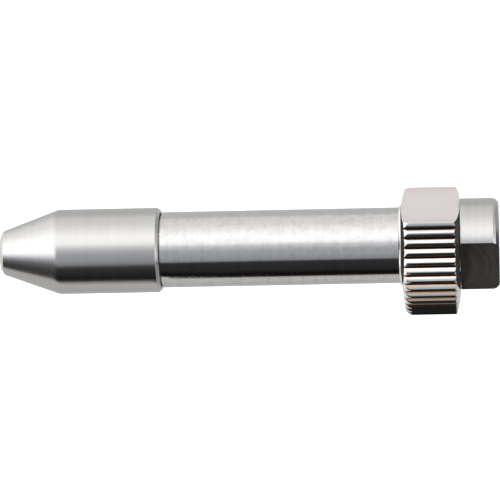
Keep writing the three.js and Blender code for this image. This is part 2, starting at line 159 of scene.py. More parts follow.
# Bright rubbed edges, and painted shade that darkens hollows, both from how sharply the surface turns.
def makeEdgeWearAndHollowShade():
    tree, start, end = newGroup(
        "edgeWearAndHollowShade",
        [("Vector", "NodeSocketVector", None), ("Wear", "NodeSocketFloat", 0.5),
         ("Dirt", "NodeSocketFloat", 0.3)],
        [("Edge", "NodeSocketFloat"), ("Hollow", "NodeSocketFloat")])
    bend = tree.nodes.new("ShaderNodeNewGeometry").outputs["Pointiness"]
    grain = addNode(tree, "ShaderNodeTexNoise",
                    {"Vector": start.outputs["Vector"], "Scale": 900.0, "Detail": 3.0})
    breakup = smoothRange(tree, grain.outputs["Fac"], 0.3, 0.6, 0.5, 1.0)
    edge = calc(tree, "MULTIPLY", smoothRange(tree, bend, 0.52, 0.6), breakup)
    # painted shade: the more sharply a hollow turns in, the darker it is made
    shadeMask = smoothRange(tree, bend, 0.48, 0.4)
    tree.links.new(calc(tree, "MULTIPLY", edge, start.outputs["Wear"]), end.inputs["Edge"])
    tree.links.new(calc(tree, "MULTIPLY", shadeMask, start.outputs["Dirt"]), end.inputs["Hollow"])
    return tree


turningMarks = makeTurningMarks()
handlingFilm = makeHandlingFilm()
edgeWearAndHollowShade = makeEdgeWearAndHollowShade()
print("stage: shader groups made")


def blendColor(tree, factor, first, second):
    node = addNode(tree, "ShaderNodeMix", data_type="RGBA")
    setInput(tree, node.inputs["Factor"], factor)
    setInput(tree, node.inputs[6], first)  # sockets 6 and 7 are the two colours
    setInput(tree, node.inputs[7], second)
    return node.outputs[2]


def startMaterial(name):
    material = bpy.data.materials.new(name)
    material.use_nodes = True
    tree = material.node_tree
    shader = next(n for n in tree.nodes if n.type == "BSDF_PRINCIPLED")
    coords = tree.nodes.new("ShaderNodeTexCoord")
    centred = addNode(tree, "ShaderNodeMapping", {"Vector": coords.outputs["Object"]})
    return material, tree, shader, centred.outputs["Vector"]


# Colour at the roots of a ring of teeth: brown partway down each groove, and painted shade, nearly black,
# at the bottom.
def addGrooves(tree, place, color, rough, grooves):
    parts = addNode(tree, "ShaderNodeSeparateXYZ", {"Vector": place}).outputs
    fromCrest = distanceFromCrest(tree, parts, grooves["teeth"])
    surface = mathSum(tree, grooves["radius"], fromCrest, -grooves["depth"])
    below = calc(tree, "SUBTRACT", distanceFromAxis(tree, parts), surface)
    onTeeth = smoothRange(tree, below, -grooves["reach"], -grooves["reach"] / 2)
    grain = addNode(tree, "ShaderNodeTexNoise", {"Vector": place, "Scale": grooves["grain"], "Detail": 4.0})
    offset = calc(tree, "SUBTRACT", grain.outputs["Fac"], 0.5)
    depth = mathSum(tree, fromCrest, offset, grooves["uneven"])
    # the first layer is a brown band; the second is painted shade at the bottom of each groove
    for layer in ("brownBand", "grooveShade"):
        low, high = grooves[layer]
        mask = calc(tree, "MULTIPLY", smoothRange(tree, depth, low, high), onTeeth)
        color = blendColor(tree, mask, color, (*grooves[layer + "Color"], 1.0))
    return color, mathSum(tree, rough, mask, grooves["roughness"], clamp=True)


# A face past a given place along one axis has a colour and dullness of its own.
def addSatin(tree, shader, place, color, rough, satin):
    height = addNode(tree, "ShaderNodeSeparateXYZ", {"Vector": place}).outputs[satin["axis"]]
    mask = smoothRange(tree, height, satin["above"] - 0.06 * mm, satin["above"] - 0.02 * mm)
    grain = addNode(tree, "ShaderNodeTexNoise", {"Vector": place, "Scale": satin["grain"], "Detail": 5.0})
    dark = (*[c * 0.93 for c in satin["color"]], 1.0)
    pale = blendColor(tree, grain.outputs["Fac"], dark, (*satin["color"], 1.0))
    tree.links.new(mathSum(tree, 1.0, mask, -satin["dull"]), shader.inputs["Metallic"])
    return blendColor(tree, mask, color, pale), mathSum(tree, rough, mask, satin["roughness"], clamp=True)


rubbedAndShadeColors = {"rubbed": (0.9, 0.89, 0.88), "paintedShade": (0.05, 0.045, 0.04)}
bumpDistance = 0.1 * mm


# One recipe for every bare steel here: tool lines, a handling film, rubbed edges and painted shade in
# hollows over one colour.
def steelMaterial(name, look):
    material, tree, shader, place = startMaterial(name)
    marks = placeGroup(tree, turningMarks, Vector=place, Lines=look["lines"])
    film = placeGroup(tree, handlingFilm, Vector=place, Scale=look["filmScale"], Amount=look["film"])
    wearAndShade = placeGroup(tree, edgeWearAndHollowShade, Vector=place, Wear=look["edge"], Dirt=look["hollowShadeAmount"])
    light = (*look["color"], 1.0)
    dark = (*[c * (1 - look["tint"]) for c in look["color"]], 1.0)
    color = blendColor(tree, marks.outputs["Tint"], dark, light)
    stained = (*[c * (1 - look["filmTint"]) for c in look["color"]], 1.0)
    color = blendColor(tree, film.outputs["Film"], color, stained)
    color = blendColor(tree, wearAndShade.outputs["Edge"], color, (*rubbedAndShadeColors["rubbed"], 1.0))
    # painted shade: hollows are blended towards near black
    color = blendColor(tree, wearAndShade.outputs["Hollow"], color, (*rubbedAndShadeColors["paintedShade"], 1.0))
    swing = calc(tree, "SUBTRACT", marks.outputs["Tint"], 0.5)
    rough = mathSum(tree, look["roughness"], swing, look["roughVary"])
    rough = mathSum(tree, rough, film.outputs["Film"], look["filmRough"], clamp=True)
    shader.inputs["Metallic"].default_value = 1.0
    if "grooves" in look:
        color, rough = addGrooves(tree, place, color, rough, look["grooves"])
    if "satin" in look:
        color, rough = addSatin(tree, shader, place, color, rough, look["satin"])
    tree.links.new(color, shader.inputs["Base Color"])
    tree.links.new(rough, shader.inputs["Roughness"])
    cuts = calc(tree, "MULTIPLY", marks.outputs["Height"], look["lineDepth"])
    height = mathSum(tree, cuts, film.outputs["Ripple"], look["ripple"])
    bump = addNode(tree, "ShaderNodeBump",
                   {"Strength": look["bump"], "Distance": bumpDistance, "Height": height})
    tree.links.new(bump.outputs["Normal"], shader.inputs["Normal"])
    return material


turnedLook = {
    "color": (0.66, 0.655, 0.65), "roughness": 0.19, "roughVary": 0.1, "lines": 3600.0, "lineDepth": 0.10,
    "tint": 0.16, "film": 0.35, "filmScale": 120.0, "filmTint": 0.1, "filmRough": 0.05, "ripple": 0.0,
    "bump": 0.5, "edge": 0.5, "hollowShadeAmount": 0.3}
groundLook = {
    "color": (0.8, 0.795, 0.8), "roughness": 0.06, "roughVary": 0.05, "lines": 3200.0, "lineDepth": 0.03,
    "tint": 0.3, "film": 1.0, "filmScale": 520.0, "filmTint": 0.24, "filmRough": 0.04, "ripple": 0.2,
    "bump": 0.3, "edge": 0.5, "hollowShadeAmount": 0.3}
tailEndLook = {
    "axis": "X", "above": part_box("tail_plug")[1].x, "color": (0.07, 0.07, 0.075), "grain": 900.0,
    "dull": 0.2, "roughness": 0.15}
tailLook = dict(turnedLook, color=(0.64, 0.635, 0.635), roughness=0.2, hollowShadeAmount=0.4, satin=tailEndLook)
polishedLook = dict(
    groundLook, color=(0.62, 0.63, 0.65), roughness=0.07, tint=0.06, film=0.2, filmScale=250.0,
    filmTint=0.1, ripple=0.05)
springLook = dict(turnedLook, color=(0.16, 0.165, 0.18), roughness=0.34, tint=0.1, edge=0.8)
brassLook = dict(turnedLook, color=(0.6, 0.44, 0.18), roughness=0.3, tint=0.1)


# Soft matt stuff such as rubber and felt: a speckled colour over a fine grain.
def mattMaterial(name, look):
    material, tree, shader, place = startMaterial(name)
    grain = addNode(tree, "ShaderNodeTexNoise", {"Vector": place, "Scale": look["grain"], "Detail": 6.0})
    film = placeGroup(tree, handlingFilm, Vector=place, Scale=look["grain"] * 0.2, Amount=0.6)
    color = blendColor(tree, grain.outputs["Fac"], (*look["dark"], 1.0), (*look["light"], 1.0))
    tree.links.new(color, shader.inputs["Base Color"])
    rough = calc(tree, "SUBTRACT", look["roughness"], calc(tree, "MULTIPLY", film.outputs["Film"], 0.15))
    tree.links.new(rough, shader.inputs["Roughness"])
    bump = addNode(tree, "ShaderNodeBump",
                   {"Strength": look["bump"], "Distance": bumpDistance, "Height": grain.outputs["Fac"]})
    tree.links.new(bump.outputs["Normal"], shader.inputs["Normal"])
    return material


rubberLook = {"dark": (0.008, 0.008, 0.008), "light": (0.03, 0.03, 0.03), "grain": 2500.0, "roughness": 0.7,
              "bump": 0.3}
feltLook = {"dark": (0.12, 0.11, 0.09), "light": (0.3, 0.28, 0.24), "grain": 3500.0, "roughness": 0.95,
            "bump": 0.9}

turnedSteel = steelMaterial("turnedSteel", turnedLook)
groundSteel = steelMaterial("groundSteel", groundLook)
tailSteel = steelMaterial("tailSteel", tailLook)
polishedSteel = steelMaterial("polishedSteel", polishedLook)
springSteel = steelMaterial("springSteel", springLook)
cageBrass = steelMaterial("cageBrass", brassLook)
blackRubber = mattMaterial("blackRubber", rubberLook)
sealFelt = mattMaterial("sealFelt", feltLook)
print("stage: materials made")


# Corners are (x, radius, setback); a setback above 0 rounds that corner off.
def roundOff(corners, steps=5):
    outline = []
    for i, (x, r, setback) in enumerate(corners):
        here = Vector((x, r))
        if setback <= 0:
            outline.append(here)
            continue
        before = Vector(corners[i - 1][:2])
        after = Vector(corners[(i + 1) % len(corners)][:2])
        first = here + (before - here).normalized() * min(setback, (before - here).length * 0.45)
        last = here + (after - here).normalized() * min(setback, (after - here).length * 0.45)
        for k in range(steps + 1):
            t = k / steps
            outline.append(first * (1 - t) ** 2 + here * 2 * t * (1 - t) + last * t ** 2)
    return outline


# Long straight stretches get extra points, so that quads stay short along the axis.
def fillIn(outline, longest):
    filled = []
    for i, point in enumerate(outline):
        after = outline[(i + 1) % len(outline)]
        count = max(1, math.ceil((after - point).length / longest))
        filled += [point.lerp(after, k / count) for k in range(count)]
    return filled


# Turns a closed outline round the X axis. Where the outline runs along the axis, a single point closes it.
def turn(outline, segments):
    form = bmesh.new()
    rings = []
    for point in outline:
        if point.y < 1e-7:
            rings.append([form.verts.new((point.x, 0, 0))] * segments)
            continue
        angles = [2 * math.pi * k / segments for k in range(segments)]
        spots = [(point.x, point.y * math.sin(a), point.y * math.cos(a)) for a in angles]
        rings.append([form.verts.new(spot) for spot in spots])
    for i, ring in enumerate(rings):
        after = rings[(i + 1) % len(rings)]
        for k in range(segments):
            n = (k + 1) % segments
            corners = list(dict.fromkeys([ring[k], ring[n], after[n], after[k]]))
            if len(corners) > 2:
                form.faces.new(corners)
    bmesh.ops.recalc_face_normals(form, faces=form.faces)
    return form


def cutBeyond(form, point, normal):
    everything = form.verts[:] + form.edges[:] + form.faces[:]
    bmesh.ops.bisect_plane(
        form, geom=everything, plane_co=point, plane_no=normal, clear_outer=True, dist=1e-7)
    rim = [e for e in form.edges if e.is_boundary]
    bmesh.ops.holes_fill(form, edges=rim, sides=0)
    bmesh.ops.recalc_face_normals(form, faces=form.faces)


def finishPiece(name, form, material, sharpAngle=28):
    mesh = bpy.data.meshes.new(name)
    form.to_mesh(mesh)
    form.free()
    mesh.shade_smooth()
    mesh.set_sharp_from_angle(angle=math.radians(sharpAngle))
    mesh.materials.append(material)
    piece = bpy.data.objects.new(name, mesh)
    bpy.context.scene.collection.objects.link(piece)
    return piece


def place(piece, body, slot, *replaced):
    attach(piece, body)
    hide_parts(*replaced)


# Runs a live modifier on the piece and keeps its result as a plain mesh.
def bakeModifiers(piece, sharpAngle=28):
    depsgraph = bpy.context.evaluated_depsgraph_get()
    mesh = bpy.data.meshes.new_from_object(piece.evaluated_get(depsgraph))
    piece.modifiers.clear()
    mesh.name = piece.name
    mesh.shade_smooth()
    mesh.set_sharp_from_angle(angle=math.radians(sharpAngle))
    piece.data = mesh
    return piece


def cutWith(piece, cutter):
    modifier = piece.modifiers.new("cut", "BOOLEAN")
    modifier.operation = "DIFFERENCE"
    modifier.solver = "EXACT"
    modifier.object = cutter
    bakeModifiers(piece)
    bpy.data.objects.remove(cutter)


def span(node):
    low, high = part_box(node)
    return low.x, high.x, max(high.y, high.z)


headSizes = {
    "faceRadius": 4.4 * mm, "noseChamfer": (0.8 * mm, 1.4 * mm), "coneLength": 14.7 * mm,
    "rearChamfer": (0.9 * mm, 0.7 * mm), "skirtWall": 1.6 * mm, "skirtDepth": 8 * mm,
    "bossRadius": 5.6 * mm, "bossLength": 2.2 * mm, "socketRadius": 4.02 * mm, "socketDepth": 15 * mm,
    "coneEdge": 0.7 * mm, "edge": 0.14 * mm, "segments": 256, "step": 1.2 * mm}


def makePointHead(sizes):
    noseX, rearX, radius = span("point_head")
    chamferX, chamferR = sizes["noseChamfer"]
    rearLength, rearDepth = sizes["rearChamfer"]
    bore = radius - sizes["skirtWall"]
    floorX = rearX - sizes["skirtDepth"]
    socketX = floorX - sizes["socketDepth"]
    edge = sizes["edge"]
    corners = [
        (noseX, 0, 0),
        (noseX, sizes["faceRadius"], 2 * edge),
        (noseX + chamferX, sizes["faceRadius"] + chamferR, 2 * edge),
        (noseX + chamferX + sizes["coneLength"], radius, sizes["coneEdge"]),
        (rearX - rearLength, radius, edge),
        (rearX, radius - rearDepth, edge),
        (rearX, bore, edge),
        (floorX, bore, 0),
        (floorX, sizes["bossRadius"], 0),
        (floorX + sizes["bossLength"], sizes["bossRadius"], edge),
        (floorX + sizes["bossLength"], sizes["socketRadius"], edge),
        (socketX, sizes["socketRadius"], 0),
        (socketX, 0, 0)]
    form = turn(fillIn(roundOff(corners), sizes["step"])[:-1], sizes["segments"])
    return finishPiece("pointHead", form, turnedSteel)


pointHead = makePointHead(headSizes)
place(pointHead, "spindle", "turned_steel", "point_head")
print("stage: point head made")


shankSizes = {
    "spigotRadius": 9.55 * mm, "shoulderGap": 0.3 * mm, "overlap": 1 * mm, "threadRadius": 9 * mm,
    "boreRadius": 8.02 * mm, "webRadius": 6.2 * mm, "webThickness": 1.2 * mm,
    "seatGap": 0.02 * mm, "slotSpare": 0.15 * mm, "travel": 0.8 * mm,
    "threadPitch": 1 * mm, "threadDepth": 0.5 * mm,
    "edge": 0.12 * mm, "segments": 256, "step": 2 * mm}


def makeShankTube(sizes):
    frontX, endX, radius = span("shank_tube")
    headRear = span("point_head")[1]
    collarFront = span("knurled_collar")[0]
    gap = sizes["seatGap"]
    webRear = span("front_outer_race")[0] - gap
    edge = sizes["edge"]
    bore = sizes["boreRadius"]
    shoulder = headRear + sizes["shoulderGap"]
    overlapX = collarFront + sizes["overlap"]
    ringLow, ringHigh, ringRadius = span("bearing_retaining_ring")
    corners = [
        (frontX, bore, edge),
        (frontX, sizes["spigotRadius"], edge),
        (shoulder, sizes["spigotRadius"], 0),
        (shoulder, radius, edge),
        (overlapX, radius, edge)]
    x = overlapX
    pitch = sizes["threadPitch"]
    crest = sizes["threadRadius"]
    root = crest - sizes["threadDepth"]
    while x + pitch < endX:
        corners += [(x, root, 0), (x + pitch * 0.4, crest, 0), (x + pitch * 0.6, crest, 0)]
        x += pitch
    corners += [
        (endX, root, 0),
        (endX, bore, 0),
        (ringHigh + gap, bore, 0),
        (ringHigh + gap, ringRadius + gap, 0),
        (ringLow - gap, ringRadius + gap, 0),
        (ringLow - gap, bore, 0),
        (webRear, bore, 0),
        (webRear, sizes["webRadius"], 0),
        (webRear - sizes["webThickness"], sizes["webRadius"], 0),
        (webRear - sizes["webThickness"], bore, 0)]
    form = turn(fillIn(roundOff(corners, 4), sizes["step"]), sizes["segments"])
    piece = finishPiece("shankTube", form, groundSteel)
    pinLow, pinHigh, _ = span("cross_pin")
    low = pinLow - sizes["travel"] - sizes["slotSpare"]
    high = pinHigh + sizes["slotSpare"]
    width = (pinHigh - pinLow) + 2 * sizes["slotSpare"]
    block = bmesh.new()
    bmesh.ops.create_cube(block, size=1)
    middle = Matrix.Translation(((low + high) / 2, 0, 0))
    block.transform(middle @ Matrix.Diagonal((high - low, width, 3 * radius, 1)))
    cutWith(piece, finishPiece("slotCutter", block, groundSteel))
    return piece


shankTube = makeShankTube(shankSizes)
place(shankTube, "shank", "ground_steel", "shank_tube")
print("stage: shank tube made")


collarSizes = {
    "hubRadius": 10.6 * mm, "hubLength": 0.55 * mm, "passRadius": 10.05 * mm, "passLength": 2.1 * mm,
    "boreRadius": 9.05 * mm, "pocketX": 5.7 * mm, "pocketRadius": 10.4 * mm, "rearRadius": 12 * mm,
    "frontDome": (1.85 * mm, 0.3 * mm), "faceDrop": 1.75 * mm, "hubChamfer": 0.42 * mm,
    "rearDome": (1.15 * mm, 0.28 * mm), "ringX": 3.4 * mm, "ringHalf": 0.46 * mm, "edge": 0.1 * mm,
    "step": 0.6 * mm, "samplesPerTooth": 16}
knurlSizes = {
    "Teeth": 44, "Outer Radius": 18.5 * mm, "Depth": 0.85 * mm, "Roundness": 0.4, "Notch Share": 0.08,
    "Notch Depth": 0.15 * mm, "Flat Height": 11.1 * mm}
knurlLook = {
    "color": (0.93, 0.925, 0.91), "roughness": 0.11, "roughVary": 0.04, "lines": 2500.0, "lineDepth": 0.02,
    "tint": 0.05, "film": 0.3, "filmScale": 90.0, "filmTint": 0.1, "filmRough": 0.06, "ripple": 0.05,
    # the knurl's hollows get strong painted shade
    "bump": 0.3, "edge": 0.6, "hollowShadeAmount": 0.9,
    "grooves": {
        "teeth": knurlSizes["Teeth"], "radius": knurlSizes["Outer Radius"], "depth": knurlSizes["Depth"],
        "reach": 0.6 * mm, "grain": 700.0, "uneven": 0.12,
        "brownBand": (0.66, 0.86), "brownBandColor": (0.5, 0.24, 0.09),
        # painted shade: nearly black at the groove bottoms
        "grooveShade": (0.93, 1.03), "grooveShadeColor": (0.012, 0.008, 0.006), "roughness": 0.3},
    "satin": {"axis": "Z", "above": knurlSizes["Flat Height"], "color": (0.82, 0.76, 0.75), "grain": 1500.0,
              "dull": 0.55, "roughness": 0.3}}
knurledSteel = steelMaterial("knurledSteel", knurlLook)


def finishTree(tree, geometry, start, end):
    real = addNode(tree, "GeometryNodeRealizeInstances", {"Geometry": geometry}).outputs[0]
    skinned = addNode(tree, "GeometryNodeSetMaterial",
                      {"Geometry": real, "Material": start.outputs["Material"]})
    tree.links.new(skinned.outputs[0], end.inputs["Geometry"])


# The knurl as a rule: each point is drawn in to the tooth form at its angle, then down to the flat.
# A groove lies straight up, under the middle of the flat.
def makeKnurlTree():
    tree, start, end = newGroup(
        "knurlAndFlat",
        [("Geometry", "NodeSocketGeometry", None), ("Teeth", "NodeSocketInt", 44),
         ("Outer Radius", "NodeSocketFloat", 0.02), ("Depth", "NodeSocketFloat", 0.0006),
         ("Roundness", "NodeSocketFloat", 1.0), ("Notch Share", "NodeSocketFloat", 0.1),
         ("Notch Depth", "NodeSocketFloat", 0.0002), ("Flat Height", "NodeSocketFloat", 0.01),
         ("Material", "NodeSocketMaterial", None)],
        [("Geometry", "NodeSocketGeometry")], kind="GeometryNodeTree")
    spot = tree.nodes.new("GeometryNodeInputPosition").outputs[0]
    parts = addNode(tree, "ShaderNodeSeparateXYZ", {"Vector": spot}).outputs
    radius = distanceFromAxis(tree, parts)
    fromCrest = distanceFromCrest(tree, parts, start.outputs["Teeth"])
    fall = calc(tree, "POWER", fromCrest, calc(tree, "ADD", 1.0, start.outputs["Roundness"]))
    drop = calc(tree, "MULTIPLY", fall, start.outputs["Depth"])
    notchStart = calc(tree, "SUBTRACT", 1.0, start.outputs["Notch Share"])
    notch = smoothRange(tree, fromCrest, notchStart, 1.0, 0.0, start.outputs["Notch Depth"], shape="LINEAR")
    toothRadius = calc(tree, "SUBTRACT", start.outputs["Outer Radius"], calc(tree, "ADD", drop, notch))
    shrink = calc(tree, "DIVIDE", calc(tree, "MINIMUM", radius, toothRadius), radius)
    y = calc(tree, "MULTIPLY", parts["Y"], shrink)
    z = calc(tree, "MINIMUM", calc(tree, "MULTIPLY", parts["Z"], shrink), start.outputs["Flat Height"])
    moved = addNode(tree, "ShaderNodeCombineXYZ", {"X": parts["X"], "Y": y, "Z": z}).outputs[0]
    shaped = addNode(tree, "GeometryNodeSetPosition",
                     {"Geometry": start.outputs["Geometry"], "Position": moved}).outputs[0]
    finishTree(tree, shaped, start, end)
    return tree


def addTree(piece, tree, values):
    modifier = piece.modifiers.new(tree.name, "NODES")
    modifier.node_group = tree
    sockets = {s.name: s.identifier for s in tree.interface.items_tree if s.in_out == "INPUT"}
    for name, value in values.items():
        modifier[sockets[name]] = value


def dome(start, end, sagitta, steps=8):
    first, last = Vector(start), Vector(end)
    reach = last - first
    side = 1 if reach.y > 0 else -1
    out = Vector((-abs(reach.y) * side, reach.x)).normalized()
    return [(*(first + reach * (k / steps) + out * 4 * sagitta * (k / steps) * (1 - k / steps)), 0)
            for k in range(steps + 1)]


def makeKnurledCollar(sizes, knurl):
    frontX, rearX, _ = span("knurled_collar")
    radius = knurl["Outer Radius"]
    edge = sizes["edge"]
    faceX = frontX + sizes["hubLength"]
    ringX = frontX + sizes["ringX"]
    half = sizes["ringHalf"]
    bore = sizes["boreRadius"]
    frontLength, frontSagitta = sizes["frontDome"]
    rearLength, rearSagitta = sizes["rearDome"]
    face = (faceX + frontLength * 0.36, radius - sizes["faceDrop"])
    front = [(faceX, sizes["hubRadius"], 0), (*face, 0),
             *dome(face, (faceX + frontLength * 1.1, radius), frontSagitta)[1:]]
    rear = dome((rearX - rearLength, radius), (rearX, sizes["rearRadius"]), rearSagitta)
    corners = [
        (frontX, sizes["passRadius"], 0),
        (frontX, sizes["passRadius"] + edge, 0),
        (frontX + sizes["hubChamfer"], sizes["hubRadius"], edge / 2),
        *front, *rear,
        (rearX, sizes["pocketRadius"], edge),
        (frontX + sizes["pocketX"], sizes["pocketRadius"], 0),
        (frontX + sizes["pocketX"], bore, 0),
        (ringX + half, bore, 0),
        (ringX + half, bore + 2 * half, 0),
        (ringX - half, bore + 2 * half, 0),
        (ringX - half, bore, 0),
        (frontX + sizes["passLength"], bore, 0),
        (frontX + sizes["passLength"], sizes["passRadius"], 0)]
    outline = fillIn(roundOff(corners, 4), sizes["step"])
    form = turn(outline, knurl["Teeth"] * sizes["samplesPerTooth"])
    piece = finishPiece("knurledCollar", form, knurledSteel)
    addTree(piece, makeKnurlTree(), dict(knurl, Material=knurledSteel))
    bakeModifiers(piece)
    form = bmesh.new()
    form.from_mesh(piece.data)
    bmesh.ops.remove_doubles(form, verts=form.verts, dist=2e-7)
    bmesh.ops.dissolve_degenerate(form, edges=form.edges, dist=2e-7)
    form.to_mesh(piece.data)
    form.free()
    piece.data.set_sharp_from_angle(angle=math.radians(32))
    return piece


knurledCollar = makeKnurledCollar(collarSizes, knurlSizes)
place(knurledCollar, "collar", "turned_steel", "knurled_collar")
print("stage: knurled collar made")


tailSizes = {
    "spigotRadius": 8 * mm, "grooveHalf": 0.5 * mm, "chamferLength": 0.75 * mm, "chamferDepth": 0.3 * mm,
    "edgeDepth": 0.85 * mm, "screwSeat": 3.02 * mm, "ductRadius": 1.5 * mm, "flatDistance": 8.4 * mm,
    "flatTurn": 26, "edge": 0.1 * mm, "segments": 256, "step": 1.4 * mm, "headGap": 0.1 * mm,
    "seatGap": 0.02 * mm}


def makeTailPlug(sizes):
    spigotX, endX, radius = span("tail_plug")
    headX = span("knurled_collar")[1] + sizes["headGap"]
    grooveX = sum(span("tail_o_ring")[:2]) / 2
    screwX = span("grease_plug_screw")[0] - sizes["seatGap"]
    half = sizes["grooveHalf"]
    edge = sizes["edge"]
    spigot = sizes["spigotRadius"]
    rimX = endX - sizes["chamferLength"]
    corners = [
        (spigotX, sizes["ductRadius"], edge),
        (spigotX, spigot, edge),
        (grooveX - half, spigot, 0),
        (grooveX - half, spigot - 2 * half, 0),
        (grooveX + half, spigot - 2 * half, 0),
        (grooveX + half, spigot, 0),
        (headX, spigot, 0),
        (headX, radius, 2 * edge),
        (rimX - sizes["chamferLength"], radius, edge),
        (rimX, radius - sizes["chamferDepth"], 2 * edge),
        (endX, radius - sizes["chamferDepth"] - sizes["edgeDepth"], edge),
        (endX, sizes["screwSeat"], 2 * edge),
        (screwX, sizes["screwSeat"], 0),
        (screwX, sizes["ductRadius"], 0)]
    form = turn(fillIn(roundOff(corners, 4), sizes["step"]), sizes["segments"])
    lean = math.radians(sizes["flatTurn"])
    outward = Vector((0, -math.cos(lean), -math.sin(lean)))
    for side in (outward, -outward):
        cutBeyond(form, side * sizes["flatDistance"], side)
    return finishPiece("tailPlug", form, tailSteel, sharpAngle=20)


screwSizes = {"socketAcross": 3 * mm, "socketDepth": 2.5 * mm, "edge": 0.3 * mm, "segments": 96}


def makeGreaseScrew(sizes):
    frontX, endX, radius = span("grease_plug_screw")
    edge = sizes["edge"]
    corners = [(frontX, 0, 0), (frontX, radius, edge), (endX, radius, edge), (endX, 0, 0)]
    form = turn(fillIn(roundOff(corners, 3), 0.8 * mm)[:-1], sizes["segments"])
    piece = finishPiece("greaseScrew", form, springSteel)
    key = bmesh.new()
    bmesh.ops.create_cone(key, cap_ends=True, segments=6, radius1=sizes["socketAcross"] / math.sqrt(3),
                          radius2=sizes["socketAcross"] / math.sqrt(3), depth=2 * sizes["socketDepth"])
    key.transform(Matrix.Translation((endX, 0, 0)) @ Matrix.Rotation(math.pi / 2, 4, "Y"))
    cutWith(piece, finishPiece("socketCutter", key, springSteel))
    return piece


tailPlug = makeTailPlug(tailSizes)
place(tailPlug, "shank", "turned_steel", "tail_plug")
greaseScrew = makeGreaseScrew(screwSizes)
place(greaseScrew, "shank", "spring_steel", "grease_plug_screw")
print("stage: tail plug and grease screw made")


ballSizes = {"Count": 8, "Pitch Radius": 6 * mm, "Ball Radius": 1.17 * mm}
ballSets = {"thrust": "thrust_balls", "front": "front_balls", "rear": "rear_balls"}


# A ring of balls round the X axis, the first one straight up.
def makeBallTree():
    tree, start, end = newGroup(
        "ballRing",
        [("Geometry", "NodeSocketGeometry", None), ("Count", "NodeSocketInt", 8),
         ("Centre X", "NodeSocketFloat", 0.0), ("Pitch Radius", "NodeSocketFloat", 0.006),
         ("Ball Radius", "NodeSocketFloat", 0.001), ("Material", "NodeSocketMaterial", None)],
        [("Geometry", "NodeSocketGeometry")], kind="GeometryNodeTree")
    ring = {"Vertices": start.outputs["Count"], "Radius": start.outputs["Pitch Radius"]}
    circle = addNode(tree, "GeometryNodeMeshCircle", ring).outputs[0]
    centre = addNode(tree, "ShaderNodeCombineXYZ", {"X": start.outputs["Centre X"]}).outputs[0]
    pose = {"Geometry": circle, "Translation": centre, "Rotation": (0, -math.pi / 2, 0)}
    stood = addNode(tree, "GeometryNodeTransform", pose).outputs[0]
    ball = addNode(tree, "GeometryNodeMeshUVSphere",
                   {"Segments": 32, "Rings": 16, "Radius": start.outputs["Ball Radius"]}).outputs[0]
    balls = addNode(tree, "GeometryNodeInstanceOnPoints", {"Points": stood, "Instance": ball}).outputs[0]
    finishTree(tree, balls, start, end)
    return tree


ballTree = makeBallTree()
for bearing, body in ballSets.items():
    ballNodes = [f"{bearing}_ball_{i + 1}" for i in range(ballSizes["Count"])]
    low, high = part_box(ballNodes[0])
    balls = finishPiece(bearing + "Balls", bmesh.new(), polishedSteel)
    addTree(balls, ballTree, dict(ballSizes, Material=polishedSteel, **{"Centre X": (low.x + high.x) / 2}))
    bakeModifiers(balls)
    place(balls, body, "bearing_steel", *ballNodes)
print("stage: balls made")


keptFinishes = {
    "spindle_shaft": groundSteel, "cross_pin": groundSteel, "inner_spacer": turnedSteel,
    "preload_plunger": turnedSteel, "collar_closing_ring": tailSteel, "tab_washer": springSteel,
    "spindle_locknut": springSteel, "bearing_retaining_ring": springSteel, "wave_spring": springSteel,
    "thrust_cage": cageBrass, "front_cage": cageBrass, "rear_cage": cageBrass, "tail_o_ring": blackRubber,
    "collar_friction_ring": blackRubber, "front_seal_ring": sealFelt, "thrust_shaft_washer": polishedSteel,
    "thrust_housing_washer": polishedSteel, "front_inner_race": polishedSteel,
    "front_outer_race": polishedSteel, "rear_inner_race": polishedSteel, "rear_outer_race": polishedSteel}
for name, finish in keptFinishes.items():
    nodes[name].data.materials.clear()
    nodes[name].data.materials.append(finish)
print("stage: kept pieces finished")


stageSizes = {"drop": 75 * mm, "size": 6.0, "color": (0.86, 0.86, 0.86), "glow": 0.42}


def makeFloor(sizes):
    bpy.ops.mesh.primitive_plane_add(size=sizes["size"], location=(0, 0, -sizes["drop"]))
    floor = bpy.context.object
    floor.name = "floor"
    material, tree, shader, _ = startMaterial("paleFloor")
    shader.inputs["Base Color"].default_value = (*sizes["color"], 1)
    shader.inputs["Roughness"].default_value = 0.9
    shader.inputs["Emission Color"].default_value = (1, 1, 1, 1)
    shader.inputs["Emission Strength"].default_value = sizes["glow"]
    back = tree.nodes.new("ShaderNodeNewGeometry").outputs["Backfacing"]
    clear = tree.nodes.new("ShaderNodeBsdfTransparent")
    mix = tree.nodes.new("ShaderNodeMixShader")
    tree.links.new(back, mix.inputs[0])
    tree.links.new(shader.outputs[0], mix.inputs[1])
    tree.links.new(clear.outputs[0], mix.inputs[2])
    output = next(n for n in tree.nodes if n.type == "OUTPUT_MATERIAL")
    tree.links.new(mix.outputs[0], output.inputs["Surface"])
    floor.data.materials.append(material)
    floor.visible_glossy = False


